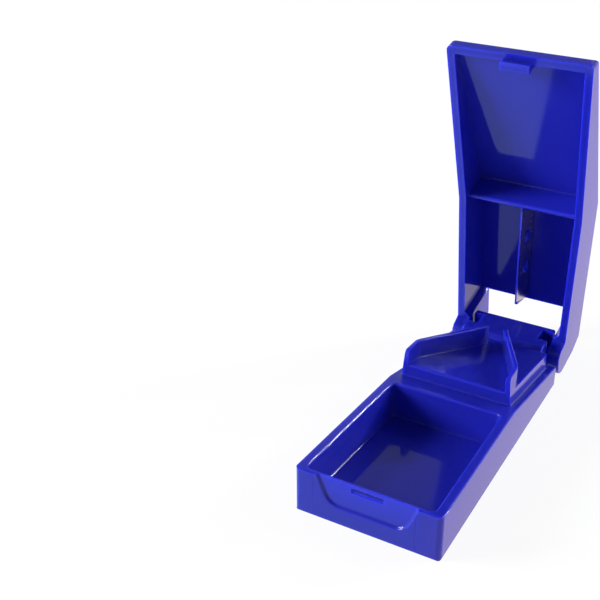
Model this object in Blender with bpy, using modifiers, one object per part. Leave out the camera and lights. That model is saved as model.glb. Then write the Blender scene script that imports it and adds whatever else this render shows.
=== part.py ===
"""Pocket pill splitter: base tray with a V holder, hinged lid, steel blade and its two rivets.

Sizes are in millimetres in object coordinates: x to the right, y from the front face to the rear,
z up from the underside. The lid is described in its closed position and turned open at the end.
"""
import math

import bmesh
import bpy

MM = 0.001

# Plan of base and lid
width_front = 34.0
side_taper = 0.0304
clearance = 0.3

# Base tray
base_length = 75.3
base_height = 11.15
ledge_start = 42.35
ledge_fall = 0.182
rim_radius = 0.8
corner_radius = 1.3
foot_radius = 0.35

# Storage pocket
pocket_wall_side = 2.24
pocket_wall_front = 1.35
pocket_floor = 2.2
pocket_rear = 39.8
pocket_corner = 1.3
pocket_draft = 0.02
floor_fillet = 0.4
lip_radius = 0.35

# Finger recess and latch slot in the front wall
recess_half = 12.0
recess_low = 4.2
recess_lean = 24.0
recess_corner = 4.0
recess_depth = 0.5
recess_soft = 0.2
slot_half = 3.65
slot_low = 9.1
slot_height = 1.0

# Pill holder
holder_inset = 2.35
holder_front = 44.8
holder_rear = 73.7
holder_rise = 3.35
holder_fall = 0.168
holder_wall = 1.15
wall_rise = 3.75
wall_fall = 0.143
wall_straight = 5.2
wall_bend_radius = 8.0
wall_front_radius = 1.0
gap_half = 1.85
gap_before = 3.7
holder_radius = 0.3
holder_rear_radius = 1.1

# Hinge and its block
hinge_y = 80.54
hinge_z = 4.66
block_half = 10.85
block_behind = 4.26
block_top = 10.2
block_low = 0.5
block_radius = 0.5
lip_rise_run = 1.3
notch_half = 2.45
notch_length = 2.65

# Hollow underside
shell = 1.7
web = 1.4

# Lid shell
rim_gap = 0.57
rim_kink_gap = 1.05
lid_front_height = 3.2
lid_ridge_y = 46.98
lid_ridge_height = 13.27
lid_tail_before = 2.83
lid_tail_height = 6.77
lid_side_wall = 1.85
lid_front_wall = 2.0
lid_top_wall = 1.9
lid_edge_radius = 0.9
lid_rim_radius = 0.25
cavity_fillet = 0.5

# Cheeks and bosses around the hinge
lobe_rear = 4.66
lobe_low = 3.06
lobe_front = 4.1
lobe_shoulder = 8.3
lobe_rear_radius = 4.0
lobe_front_radius = 2.3
rim_end_before = 4.51
rim_end_above = 1.41
boss_inset = 3.05
boss_ramp = 3.0
boss_step = 0.06
stub_end_gap = 0.35

# Thumb recess and window in the rear of the lid
panel_before = 5.45
panel_wall = 1.6
thumb_front = 49.3
thumb_strip = 2.2
thumb_depth = 0.45
thumb_corner = 2.5

# Bulkhead and latch tab inside the lid
bulkhead_before = 4.98
bulkhead_wall = 1.2
bulkhead_raise = 2.3
tab_half = 3.5
tab_wall = 1.35
barb_reach = 0.7
barb_height = 0.5

# Blade, rib and rivets
blade_wall = 0.5
blade_front_gap = 1.1
blade_rear = 73.4
blade_end_rise = 4.6
blade_end_lean = 35.0
bevel_height = 1.1
edge_land = 0.06
rib_wall = 0.8
rib_back = 2.7
rivet_front_y = 53.6
rivet_rear_y = 62.5
rivet_above_edge = 4.3
rivet_shank = 0.85
rivet_head = 1.6
rivet_dome = 0.6
rivet_tail = 0.4

opening_angle = 76.0

# How finely curves are stepped, and how far each partial curve turns
ARC_STEPS = 8
BEND_STEPS = 7
ROUND_STEPS = 32
BEVEL_STEPS = 4
BEND_SHARE = 0.75
LIP_TURN = 60.0
DOME_TURN = 80.0
SHARP_ANGLE = 35.0

# Two points closer than this lie on the same plane; an edge longer than this in x runs across
SAME = 0.001
ACROSS = 1.0

# Heights and depths that follow from the sizes above
lid_rim_front = base_height + rim_gap
lid_rim_kink = base_height + rim_kink_gap
lid_front_top = lid_rim_front + lid_front_height
lid_ridge_z = lid_rim_front + lid_ridge_height
lid_tail_y = hinge_y + lid_tail_before
lid_tail_z = lid_rim_front + lid_tail_height
front_slope = (lid_ridge_z - lid_front_top) / lid_ridge_y
rear_slope = (lid_ridge_z - lid_tail_z) / (lid_tail_y - lid_ridge_y)
panel_end = hinge_y - panel_before
bulkhead_front = lid_ridge_y - bulkhead_before
wall_bend = holder_front + wall_straight
gap_start = holder_rear - gap_before
block_rear = hinge_y + block_behind
wall_top = base_height - ledge_fall * (holder_front - ledge_start) + holder_rise + wall_rise
blade_half = blade_wall / 2.0
rib_right = -blade_half - clearance
rib_left = rib_right - rib_wall


def half_width(depth):
    """Half of the outer width at a depth behind the front face."""
    return width_front / 2.0 - side_taper * depth


def ledge_height(depth):
    """Height of the base's top edge: flat in front, falling behind the step."""
    return base_height - ledge_fall * max(0.0, depth - ledge_start)


def seat_height(depth):
    """Height of the sloped floor the pill lies on."""
    return ledge_height(holder_front) + holder_rise - holder_fall * (depth - holder_front)


def lid_top(depth):
    """Height of the lid's outside, before its thumb recess."""
    if depth < lid_ridge_y:
        return lid_front_top + front_slope * depth
    return lid_ridge_z - rear_slope * (depth - lid_ridge_y)


def panel_underside(depth):
    """Height of the ceiling of the blade chamber."""
    return lid_top(depth) - thumb_depth - panel_wall


def edge_height(depth):
    """Height of the blade's cutting edge with the lid closed."""
    return seat_height(depth) + clearance


def arc(centre, radius, start, stop, steps=ARC_STEPS):
    """Points on a circle from one angle to another, in degrees."""
    points = []
    for step in range(steps + 1):
        angle = math.radians(start + (stop - start) * step / steps)
        points.append((centre[0] + radius * math.cos(angle), centre[1] + radius * math.sin(angle)))
    return points


def fillet(before, corner, after, radius, share):
    """Points of an arc that rounds a corner, or the first share of that arc."""
    first = math.atan2(before[1] - corner[1], before[0] - corner[0])
    second = math.atan2(after[1] - corner[1], after[0] - corner[0])
    half = math.remainder(second - first, 2.0 * math.pi) / 2.0
    reach = radius / abs(math.sin(half))
    centre = (corner[0] + reach * math.cos(first + half), corner[1] + reach * math.sin(first + half))
    start = math.degrees(first) - math.copysign(90.0, half)
    turn = math.copysign(180.0, half) - 2.0 * math.degrees(half)
    return arc(centre, radius, start, start - turn * share, BEND_STEPS)


def circle(centre, radius, across):
    """A ring of points around an axis that runs along x, at one x position."""
    ring = []
    for step in range(ROUND_STEPS):
        angle = 2.0 * math.pi * step / ROUND_STEPS
        ring.append((across, centre[0] + radius * math.cos(angle), centre[1] + radius * math.sin(angle)))
    return ring


for old in list(bpy.data.objects):
    bpy.data.objects.remove(old, do_unlink=True)

parts = bpy.data.collections.new("pill_splitter")
cutters = bpy.data.collections.new("cutters")
bpy.context.scene.collection.children.link(parts)
bpy.context.scene.collection.children.link(cutters)

middle = base_length / 2.0
hinge = bpy.data.objects.new("lid_hinge", None)
hinge.location = (0.0, (hinge_y - middle) * MM, hinge_z * MM)
hinge.rotation_euler = (math.radians(-opening_angle), 0.0, 0.0)
hinge.empty_display_size = width_front / 2.0 * MM
parts.objects.link(hinge)


def material(name, colour, roughness, metallic):
    """A plain surface finish."""
    finish = bpy.data.materials.new(name)
    finish.use_nodes = True
    shader = finish.node_tree.nodes["Principled BSDF"]
    shader.inputs["Base Color"].default_value = (*colour, 1.0)
    shader.inputs["Roughness"].default_value = roughness
    shader.inputs["Metallic"].default_value = metallic
    return finish


base_plastic = material("base_plastic", (0.035, 0.035, 0.45), 0.16, 0.0)
lid_plastic = material("lid_plastic", (0.033, 0.034, 0.43), 0.16, 0.0)
blade_steel = material("blade_steel", (0.55, 0.56, 0.58), 0.28, 1.0)
front_rivet_plastic = material("front_rivet_plastic", (0.03, 0.035, 0.5), 0.2, 0.0)
rear_rivet_plastic = material("rear_rivet_plastic", (0.03, 0.036, 0.5), 0.2, 0.0)


def loft(name, rings, on_lid, rounding=None, finish=None):
    """Join rings of points into one closed solid.

    The rounding rule gives a radius for the edge between two points; a finish makes the solid a
    part, and without one it is a cutter or a piece to be joined on.
    """
    shift = (0.0, hinge_y, hinge_z) if on_lid else (0.0, middle, 0.0)
    body = bmesh.new()
    weight = body.edges.layers.float.new("bevel_weight_edge")
    layers = [[body.verts.new(point) for point in ring] for ring in rings]
    for low, high in zip(layers, layers[1:]):
        for index in range(len(low)):
            after = (index + 1) % len(low)
            body.faces.new((low[index], low[after], high[after], high[index]))
    body.faces.new(layers[0])
    body.faces.new(layers[-1])
    bmesh.ops.recalc_face_normals(body, faces=body.faces)
    largest = 0.0
    if rounding is not None:
        radii = {edge: rounding(edge.verts[0].co, edge.verts[1].co) for edge in body.edges}
        largest = max(radii.values())
        for edge, radius in radii.items():
            edge[weight] = radius / largest
    for vertex in body.verts:
        vertex.co = [(vertex.co[axis] - shift[axis]) * MM for axis in range(3)]
    mesh = bpy.data.meshes.new(name)
    body.to_mesh(mesh)
    body.free()
    mesh.shade_smooth()
    mesh.set_sharp_from_angle(angle=math.radians(SHARP_ANGLE))
    solid = bpy.data.objects.new(name, mesh)
    if on_lid:
        solid.parent = hinge
    if finish is None:
        cutters.objects.link(solid)
        solid.hide_render = True
        solid.display_type = "WIRE"
    else:
        parts.objects.link(solid)
        mesh.materials.append(finish)
    if largest > 0.0:
        bevel = solid.modifiers.new("rounded edges", "BEVEL")
        bevel.limit_method = "WEIGHT"
        bevel.width = largest * MM
        bevel.segments = BEVEL_STEPS
    solid.modifiers.new("flat facets", "TRIANGULATE")
    return solid


def combine(solid, other, operation):
    """Join another solid to this one, or cut it away."""
    change = solid.modifiers.new(other.name, "BOOLEAN")
    change.operation = operation
    change.solver = "EXACT"
    change.object = other


def across_taper(outline, inset):
    """Left and right copies of a side outline, each a set distance inside the tapered side."""
    left = [(inset - half_width(depth), depth, height) for depth, height in outline]
    right = [(half_width(depth) - inset, depth, height) for depth, height in outline]
    return [left, right]


def across(outline, left, right):
    """Left and right copies of a side outline between two x positions."""
    return [[(place, depth, height) for depth, height in outline] for place in (left, right)]


def rounded_plan(front, rear, inset, corner, grow):
    """Plan outline that follows the tapered sides, with rounded corners."""
    low, high = front - grow, rear + grow
    radius = corner + grow
    front_half = half_width(low) - inset + grow - radius
    rear_half = half_width(high) - inset + grow - radius
    plan = arc((front_half, low + radius), radius, -90.0, 0.0)
    plan += arc((rear_half, high - radius), radius, 0.0, 90.0)
    plan += arc((-rear_half, high - radius), radius, 90.0, 180.0)
    plan += arc((-front_half, low + radius), radius, 180.0, 270.0)
    return plan


def bowl(depth, floor_round, lip, draft, above):
    """Heights and growths of the rings of a hollow: rounded floor edge, drafted wall, rounded mouth."""
    rings = []
    steps = ARC_STEPS // 2
    for step in range(steps + 1):
        angle = math.radians(90.0 * step / steps)
        height = floor_round * (1.0 - math.cos(angle))
        rings.append((height - depth, -floor_round * (1.0 - math.sin(angle)) - draft * (depth - height)))
    for step in range(steps):
        angle = math.radians(LIP_TURN * step / (steps - 1))
        rings.append((lip * math.sin(angle) - lip, lip * (1.0 - math.cos(angle))))
    rings.append((above, lip))
    return rings


# Base tray: outside
base_outline = [(0.0, 0.0), (base_length, 0.0), (base_length, ledge_height(base_length)),
                (ledge_start, base_height), (0.0, base_height)]


def base_rounding(first, second):
    """Radius of each outside edge of the base tray."""
    if max(first.z, second.z) < SAME:
        return foot_radius
    if max(first.y, second.y, abs(first.x - second.x)) < SAME:
        return corner_radius
    along_step = max(abs(first.y - ledge_start), abs(second.y - ledge_start)) < SAME
    return 0.0 if along_step else rim_radius


base = loft("base_tray", across_taper(base_outline, 0.0), False, base_rounding, base_plastic)

# Pill holder: a block to the height of its walls, cut back to the sloped floor outside the walls
wall_rear_top = wall_top - wall_fall * (holder_rear - wall_bend)
holder_outline = [(holder_front, pocket_floor), (holder_rear, pocket_floor), (holder_rear, wall_rear_top),
                  (wall_bend, wall_top)]
front_round = (holder_front + wall_front_radius, wall_top - wall_front_radius)
holder_outline += arc(front_round, wall_front_radius, 90.0, 180.0)


def holder_rounding(first, second):
    """Radius of each edge of the pill holder block."""
    crosswise = abs(first.x - second.x) > ACROSS
    if crosswise or max(first.z, second.z) < pocket_floor + SAME:
        return 0.0
    return holder_rear_radius if min(first.y, second.y) > holder_rear - SAME else holder_radius


holder = loft("pill_holder", across_taper(holder_outline, holder_inset), False, holder_rounding)

front_inner = half_width(holder_front) - holder_inset - holder_wall
bend_inner = half_width(wall_bend) - holder_inset - holder_wall
run = (bend_inner - gap_half, gap_start - wall_bend)
run_length = math.hypot(run[0], run[1])
along = (run[0] / run_length, run[1] / run_length)
end_outer = (gap_half + holder_wall * along[1], gap_start + holder_wall * along[0])
beyond = width_front / 2.0
before_holder = holder_front - holder_wall
behind_holder = holder_rear + holder_wall
seat_right = [(front_inner, before_holder)]
seat_right += fillet(seat_right[0], (bend_inner, wall_bend), (gap_half, gap_start), wall_bend_radius, 1.0)
seat_right += [(gap_half, gap_start), end_outer]
side_start = half_width(end_outer[1]) - holder_inset
side_run = (side_start - end_outer[0]) / (along[0] / along[1] - side_taper)
side_corner = (end_outer[0] + side_run * along[0] / along[1], end_outer[1] - side_run)
side_before = (half_width(before_holder) - holder_inset, before_holder)
seat_right += fillet(end_outer, side_corner, side_before, wall_bend_radius + holder_wall, BEND_SHARE)
last, end = seat_right[-2], seat_right[-1]
side_depth = end[1] - (beyond - end[0]) * (last[1] - end[1]) / (end[0] - last[0])
seat_right += [(beyond, side_depth), (beyond, behind_holder)]
seat_plan = seat_right + [(-place, depth) for place, depth in reversed(seat_right)]
seat_rings = [[(place, depth, seat_height(depth)) for place, depth in seat_plan],
              [(place, depth, wall_top + holder_wall) for place, depth in seat_plan]]
seat = loft("seat_cut", seat_rings, False)
combine(holder, seat, "DIFFERENCE")
combine(base, holder, "UNION")

# Hinge block with the lip behind the pill floor
lip_foot = holder_rear
lip_y = lip_foot + lip_rise_run
inside_holder = lip_foot - shell
block_outline = [(inside_holder, block_low), (block_rear, block_low), (block_rear, block_top),
                 (lip_y, block_top), (lip_foot, seat_height(lip_foot) - clearance),
                 (inside_holder, seat_height(inside_holder) - shell)]


def block_rounding(first, second):
    """One radius for every edge of the hinge block."""
    return block_radius


block = loft("hinge_block", across(block_outline, -block_half, block_half), False, block_rounding)

# Bearing notches for the stub pins, open at the top
notch_inner = block_half - notch_length
notch_outline = arc((hinge_y, hinge_z), notch_half, 180.0, 360.0)
above_block = block_top + block_radius
notch_outline += [(hinge_y + notch_half, above_block), (hinge_y - notch_half, above_block)]
outside_block = block_half + block_radius
left_notch = loft("left_notch_cut", across(notch_outline, -outside_block, -notch_inner), False)
right_notch = loft("right_notch_cut", across(notch_outline, notch_inner, outside_block), False)
combine(block, left_notch, "DIFFERENCE")
combine(block, right_notch, "DIFFERENCE")
combine(base, block, "UNION")

# Storage pocket
pocket_depth = base_height - pocket_floor
pocket_rings = []
for height, grow in bowl(pocket_depth, floor_fillet, lip_radius, pocket_draft, rim_radius):
    plan = rounded_plan(pocket_wall_front, pocket_rear, pocket_wall_side, pocket_corner, grow)
    pocket_rings.append([(place, depth, base_height + height) for place, depth in plan])
pocket = loft("pocket_cut", pocket_rings, False)
combine(base, pocket, "DIFFERENCE")


# Finger recess: leaning sides, large lower corners, open at the rim
def recess_outline(grow):
    """Outline of the recess in the front face, grown evenly by a small amount."""
    lean = math.radians(recess_lean)
    low = recess_low - grow
    radius = recess_corner + grow
    top = base_height + rim_radius + recess_corner
    foot = recess_half - (base_height - recess_low) * math.tan(lean)
    centre_x = foot - recess_corner * math.tan((math.pi / 2.0 - lean) / 2.0)
    right = arc((centre_x, low + radius), radius, -90.0, -math.degrees(lean))
    end_x, end_z = right[-1]
    right.append((end_x + (top - end_z) * math.tan(lean), top))
    return right + [(-place, height) for place, height in reversed(right)]


recess_rings = []
for height, grow in bowl(recess_depth, recess_soft, recess_soft, 0.0, rim_radius):
    recess_rings.append([(place, -height, level) for place, level in recess_outline(grow)])
recess = loft("finger_recess_cut", recess_rings, False)
combine(base, recess, "DIFFERENCE")

slot_top = slot_low + slot_height
slot_rear = pocket_wall_front + rim_radius
slot_outline = [(-rim_radius, slot_low), (slot_rear, slot_low), (slot_rear, slot_top),
                (-rim_radius, slot_top)]
slot = loft("latch_slot_cut", across(slot_outline, -slot_half, slot_half), False)
combine(base, slot, "DIFFERENCE")

# Hollow underside: two bays beside a web under the cutting line, and one bay in the hinge block
bay_front = pocket_rear + shell
bay_step = holder_front + shell
bay_rear = inside_holder - shell
bay_outline = [(bay_front, -shell), (bay_rear, -shell), (bay_rear, seat_height(bay_rear) - shell),
               (bay_step, seat_height(bay_step) - shell), (bay_step, ledge_height(bay_step) - shell),
               (bay_front, ledge_height(bay_step) - shell)]
bay_inset = holder_inset + shell
right_bay_rings = [[(web / 2.0, depth, height) for depth, height in bay_outline],
                   [(half_width(depth) - bay_inset, depth, height) for depth, height in bay_outline]]
left_bay_rings = [[(-place, depth, height) for place, depth, height in ring] for ring in right_bay_rings]
right_bay = loft("right_bay_cut", right_bay_rings, False)
left_bay = loft("left_bay_cut", left_bay_rings, False)
combine(base, right_bay, "DIFFERENCE")
combine(base, left_bay, "DIFFERENCE")

block_bay_rear = block_rear - shell
block_bay_outline = [(inside_holder, -shell), (block_bay_rear, -shell), (block_bay_rear, block_top - shell),
                     (lip_y, block_top - shell), (inside_holder, seat_height(inside_holder) - shell)]
block_bay_half = notch_inner - shell
block_bay = loft("block_bay_cut", across(block_bay_outline, -block_bay_half, block_bay_half), False)
combine(base, block_bay, "DIFFERENCE")

# Lid: outside
lobe_back = hinge_y + lobe_rear
lobe_floor = hinge_z - lobe_low
lobe_nose = hinge_y - lobe_front
rim_end = (hinge_y - rim_end_before, hinge_z + rim_end_above)
lid_outline = [(0.0, lid_rim_front), (0.0, lid_front_top), (lid_ridge_y, lid_ridge_z),
               (lid_tail_y, lid_tail_z), (lobe_back, hinge_z + lobe_shoulder)]
rear_round = (lobe_back - lobe_rear_radius, lobe_floor + lobe_rear_radius)
nose_round = (lobe_nose + lobe_front_radius, lobe_floor + lobe_front_radius)
lid_outline += arc(rear_round, lobe_rear_radius, 0.0, -90.0)
lid_outline += arc(nose_round, lobe_front_radius, -90.0, -180.0)
lid_outline += [rim_end, (ledge_start, lid_rim_kink)]


def lid_rounding(first, second):
    """Radius of each outside edge of the lid."""
    if max(first.y, second.y, abs(first.x - second.x)) < SAME:
        return corner_radius
    crosswise = abs(first.x - second.x) > ACROSS
    top = min(first.z - lid_top(first.y), second.z - lid_top(second.y)) > -SAME
    if crosswise:
        return lid_edge_radius if top and (first.y < SAME or first.y > lid_ridge_y + SAME) else 0.0
    return lid_edge_radius if top else lid_rim_radius


lid = loft("lid_shell", across_taper(lid_outline, 0.0), True, lid_rounding, lid_plastic)

# Inside of the lid: front compartment, bulkhead, blade chamber, and the window behind the panel
cavity_front = lid_front_wall
bulkhead_rear = bulkhead_front + bulkhead_wall
bulkhead_low = lid_rim_front + bulkhead_raise
bulkhead_round = bulkhead_wall / 2.0
below = -lobe_rear
over = lid_ridge_z + shell
window_rear = lobe_back + shell
inner_ridge_y = lid_ridge_y
inner_ridge_z = panel_underside(inner_ridge_y)
cavity_outline = [(cavity_front, below), (cavity_front, lid_top(cavity_front) - lid_top_wall),
                  (bulkhead_front, lid_top(bulkhead_front) - lid_top_wall)]
bulkhead_centre = (bulkhead_front + bulkhead_round, bulkhead_low + bulkhead_round)
cavity_outline += arc(bulkhead_centre, bulkhead_round, 180.0, 360.0)
cavity_outline += [(bulkhead_rear, lid_top(bulkhead_rear) - lid_top_wall), (inner_ridge_y, inner_ridge_z),
                   (panel_end, panel_underside(panel_end)), (panel_end, over), (window_rear, over),
                   (window_rear, below)]


def cavity_rounding(first, second):
    """Radius of the inside corners of the lid."""
    lowest = min(first.z, second.z) < bulkhead_low + bulkhead_round
    open_end = max(first.y, second.y) > panel_end - SAME
    crosswise = abs(first.x - second.x) > ACROSS
    if lowest or open_end or (crosswise and abs(first.y - inner_ridge_y) < SAME):
        return 0.0
    return cavity_fillet


cavity = loft("cavity_cut", across_taper(cavity_outline, lid_side_wall), True, cavity_rounding)
combine(lid, cavity, "DIFFERENCE")

# Hinge bosses inside the cheeks, with a ramp in front, and their stub pins
boss_full = hinge_y - rim_end_before
embed_inset = lid_side_wall / 2.0
ramp_per_inset = boss_ramp / (boss_inset - lid_side_wall)
embed_front = boss_full - ramp_per_inset * (boss_inset - embed_inset)
rim_slope = (lid_rim_kink - rim_end[1]) / (rim_end[0] - ledge_start)


def boss_outline(front):
    """Side outline of a boss that starts at a given depth, just inside the cheek's own outline."""
    rim = rim_end[1] + rim_slope * (rim_end[0] - front) + boss_step
    back = lobe_back - boss_step
    outline = [(front, rim), (front, lid_top(front) - boss_step),
               (lid_tail_y - boss_step, lid_tail_z - boss_step), (back, hinge_z + lobe_shoulder)]
    outline += arc(rear_round, lobe_rear_radius - boss_step, 0.0, -90.0)
    outline += arc(nose_round, lobe_front_radius - boss_step, -90.0, -180.0)
    outline.append((rim_end[0] + boss_step, rim_end[1] + boss_step))
    return outline


stub_radius = notch_half - clearance
stub_end = notch_inner + stub_end_gap
for side in (-1.0, 1.0):
    label = "left" if side < 0.0 else "right"
    boss_rings = []
    for front, inset in ((embed_front, embed_inset), (boss_full, boss_inset)):
        outline = boss_outline(front)
        boss_rings.append([(side * (half_width(depth) - inset), depth, height) for depth, height in outline])
    boss = loft(label + "_boss", boss_rings, True)
    combine(lid, boss, "UNION")
    root = half_width(hinge_y) - boss_inset + embed_inset
    stub_rings = [circle((hinge_y, hinge_z), stub_radius, side * root),
                  circle((hinge_y, hinge_z), stub_radius, side * (stub_end + clearance)),
                  circle((hinge_y, hinge_z), stub_radius - clearance, side * stub_end)]
    stub = loft(label + "_stub_pin", stub_rings, True)
    combine(lid, stub, "UNION")

# Thumb recess, let into the rear slope
thumb_rear = lobe_back + thumb_corner
slope_angle = math.atan(rear_slope)
thumb_rings = []
for height, grow in bowl(thumb_depth, recess_soft, recess_soft, 0.0, rim_radius):
    ring = []
    for place, depth in rounded_plan(thumb_front, thumb_rear, thumb_strip, thumb_corner, grow):
        lean = height * math.sin(slope_angle)
        ring.append((place, depth + lean, lid_top(lid_ridge_y) - rear_slope * (depth - lid_ridge_y)
                     + height * math.cos(slope_angle)))
    thumb_rings.append(ring)
thumb = loft("thumb_recess_cut", thumb_rings, True)
combine(lid, thumb, "DIFFERENCE")

# Rib that carries the blade
blade_front = bulkhead_rear + blade_front_gap
rib_front = bulkhead_front + bulkhead_round
rib_low_end = blade_rear - clearance
rib_rear = panel_end - clearance
rib_end_low = panel_underside(rib_rear) - rib_back / 2.0
embed = panel_wall / 2.0
rib_outline = [(rib_front, edge_height(rib_front) + rib_back),
               (rib_low_end, edge_height(rib_low_end) + rib_back),
               (rib_rear, rib_end_low), (rib_rear, panel_underside(rib_rear) + embed),
               (inner_ridge_y, inner_ridge_z + embed),
               (rib_front, lid_top(rib_front) - lid_top_wall + embed)]
rib = loft("blade_rib", across(rib_outline, rib_left, rib_right), True)
combine(lid, rib, "UNION")

# Latch tab behind the front wall, with the barb that enters the slot
tab_front = pocket_wall_front + clearance
tab_rear = tab_front + tab_wall
tab_low = slot_low + clearance
barb_top = tab_low + barb_height
barb_front = tab_front - barb_reach
tab_top = lid_top(tab_front) - lid_top_wall / 2.0
tab_outline = [(barb_front, barb_top), (barb_front, tab_low + barb_height / 2.0), (tab_front, tab_low),
               (tab_rear, tab_low), (tab_rear, tab_top), (tab_front, tab_top), (tab_front, barb_top)]
tab = loft("latch_tab", across(tab_outline, -tab_half, tab_half), True)
combine(lid, tab, "UNION")

# Blade: flat strip with a ground edge along the cutting line and a slanted rear end
blade_tip = blade_rear - blade_end_rise * math.tan(math.radians(blade_end_lean))


def blade_outline(raise_edge):
    """Side outline of the blade with its lower edge raised by a given height."""
    front_ceiling = min(inner_ridge_z, lid_top(blade_front) - lid_top_wall)
    return [(blade_front, edge_height(blade_front) + raise_edge),
            (blade_tip, edge_height(blade_tip) + raise_edge),
            (blade_rear, edge_height(blade_tip) + blade_end_rise + bevel_height),
            (blade_rear, panel_underside(blade_rear) - clearance),
            (inner_ridge_y, inner_ridge_z - clearance),
            (blade_front, front_ceiling - clearance)]


blade_rings = []
for place, raise_edge in ((-blade_half, bevel_height), (-edge_land / 2.0, 0.0), (edge_land / 2.0, 0.0),
                          (blade_half, bevel_height)):
    blade_rings.append([(place, depth, height) for depth, height in blade_outline(raise_edge)])
blade = loft("blade", blade_rings, True, None, blade_steel)

# Rivets: domed head on the blade, shank through blade and rib, low tail behind the rib
for label, depth, finish in (("front", rivet_front_y, front_rivet_plastic),
                             ("rear", rivet_rear_y, rear_rivet_plastic)):
    centre = (depth, edge_height(depth) + rivet_above_edge)
    bore = rivet_shank + clearance
    blade_bore = loft(label + "_blade_bore", [circle(centre, bore, -blade_half - clearance / 2.0),
                                              circle(centre, bore, blade_half + clearance)], True)
    rib_bore = loft(label + "_rib_bore", [circle(centre, bore, rib_left - clearance),
                                          circle(centre, bore, rib_right + clearance / 2.0)], True)
    combine(blade, blade_bore, "DIFFERENCE")
    combine(lid, rib_bore, "DIFFERENCE")
    under_head = blade_half + clearance
    under_tail = rib_left - clearance
    rivet_rings = [circle(centre, rivet_head - rivet_tail, under_tail - rivet_tail),
                   circle(centre, rivet_head, under_tail),
                   circle(centre, rivet_shank, under_tail),
                   circle(centre, rivet_shank, under_head)]
    for step in range(ARC_STEPS):
        angle = math.radians(DOME_TURN * step / (ARC_STEPS - 1))
        across_head = under_head + rivet_dome * math.sin(angle)
        rivet_rings.append(circle(centre, rivet_head * math.cos(angle), across_head))
    loft(label + "_rivet", rivet_rings, True, None, finish)
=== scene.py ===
"""Pocket pill splitter: finer moulded pieces, their finishes, the stage, the light and the camera.

Sizes are in millimetres in object coordinates: x to the right, y back from the front face, z up
from the table. The lid and all that it carries are described closed, and turned open about the
hinge.
"""
import logging
import math
from dataclasses import dataclass
from enum import Enum
from typing import Any, Callable, Optional, Sequence

import bmesh
import bpy
from mathutils import Euler, Matrix, Vector


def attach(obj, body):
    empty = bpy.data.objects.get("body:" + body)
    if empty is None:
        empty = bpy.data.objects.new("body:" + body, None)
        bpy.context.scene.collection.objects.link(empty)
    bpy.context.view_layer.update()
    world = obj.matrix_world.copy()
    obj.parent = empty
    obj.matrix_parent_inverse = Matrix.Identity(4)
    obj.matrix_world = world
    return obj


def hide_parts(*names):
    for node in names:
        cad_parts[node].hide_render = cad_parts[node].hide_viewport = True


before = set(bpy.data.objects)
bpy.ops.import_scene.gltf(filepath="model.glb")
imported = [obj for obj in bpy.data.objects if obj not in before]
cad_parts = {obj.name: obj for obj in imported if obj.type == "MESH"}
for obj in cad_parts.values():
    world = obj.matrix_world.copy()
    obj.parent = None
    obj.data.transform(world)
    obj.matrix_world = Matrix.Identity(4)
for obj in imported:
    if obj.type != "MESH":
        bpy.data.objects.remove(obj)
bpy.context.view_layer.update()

log = logging.getLogger("pill_splitter")

MM = 0.001
ARC_STEPS = 12
HALF_STEPS = ARC_STEPS // 2
BEND_STEPS = 13
ROUND_STEPS = 72
EDGE_STEPS = 5
SHARP_ANGLE = 32.0
# A rounded mouth stops before it is level, so that its cutter leaves the face at a clear angle.
LIP_TURN = 66.0
# Points closer than this share a plane, and an edge longer than this in x runs across the object.
SAME = 0.001
ACROSS = 1.0
WHITE = (1.0, 1.0, 1.0, 1.0)
# The sRGB curve is straight up to its knee and a power above it.
SRGB_KNEE, SRGB_SLOPE, SRGB_SHIFT, SRGB_POWER = 0.04045, 12.92, 0.055, 2.4
# Where the rivets stand behind the front face, and how dull their heads are.
FRONT_RIVET_DEPTH, REAR_RIVET_DEPTH = 53.6, 62.5
RIVET_ROUGHNESS = 0.15

Item = bpy.types.Object
Flat = tuple[float, float]
Place = tuple[float, float, float]
Ring = list[Place]
Rounding = Callable[[Vector, Vector], float]


class Change(Enum):
    """What a second solid does to the first."""

    JOIN = "UNION"
    CUT = "DIFFERENCE"


class Side(Enum):
    """Left or right of the object's middle, as the sign of x."""

    LEFT = -1.0
    RIGHT = 1.0

    def named(self, what: str) -> str:
        """Name of a thing on this side."""
        return f"{self.name.lower()}_{what}"


@dataclass(frozen=True)
class Plan:
    """The wedge-shaped plan, the hinge and the step that tray and lid share."""

    width_front: float = 34.0
    side_taper: float = 0.0304
    clearance: float = 0.3
    length: float = 75.3
    height: float = 11.15
    ledge_start: float = 42.35
    ledge_fall: float = 0.182
    corner_radius: float = 1.3
    hinge_y: float = 80.54
    hinge_z: float = 4.66
    opening: float = 76.0

    def half_width(self, depth: float) -> float:
        """Half of the outer width at a depth behind the front face."""
        return self.width_front / 2.0 - self.side_taper * depth

    def ledge_height(self, depth: float) -> float:
        """Height of the tray's top edge, flat in front and falling behind the step."""
        return self.height - self.ledge_fall * max(0.0, depth - self.ledge_start)

    def along_side(self, outline: Sequence[Flat], inset: float, side: Side) -> Ring:
        """A side outline laid inside one of the tapered sides."""
        return [(side.value * (self.half_width(depth) - inset), depth, height)
                for depth, height in outline]

    def tray_place(self) -> Matrix:
        """From object coordinates to the row's frame, for what stays on the table."""
        middle = Vector((0.0, -self.length / 2.0 * MM, 0.0))
        return Matrix.Translation(middle) @ Matrix.Scale(MM, 4)

    def lid_place(self) -> Matrix:
        """From closed object coordinates to the row's frame, with the lid turned open.

        Returns:
            The matrix.
        """
        hinge = Vector((0.0, self.hinge_y, self.hinge_z))
        turn = Matrix.Rotation(math.radians(-self.opening), 4, "X")
        return self.tray_place() @ Matrix.Translation(hinge) @ turn @ Matrix.Translation(-hinge)


PLAN = Plan()


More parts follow.
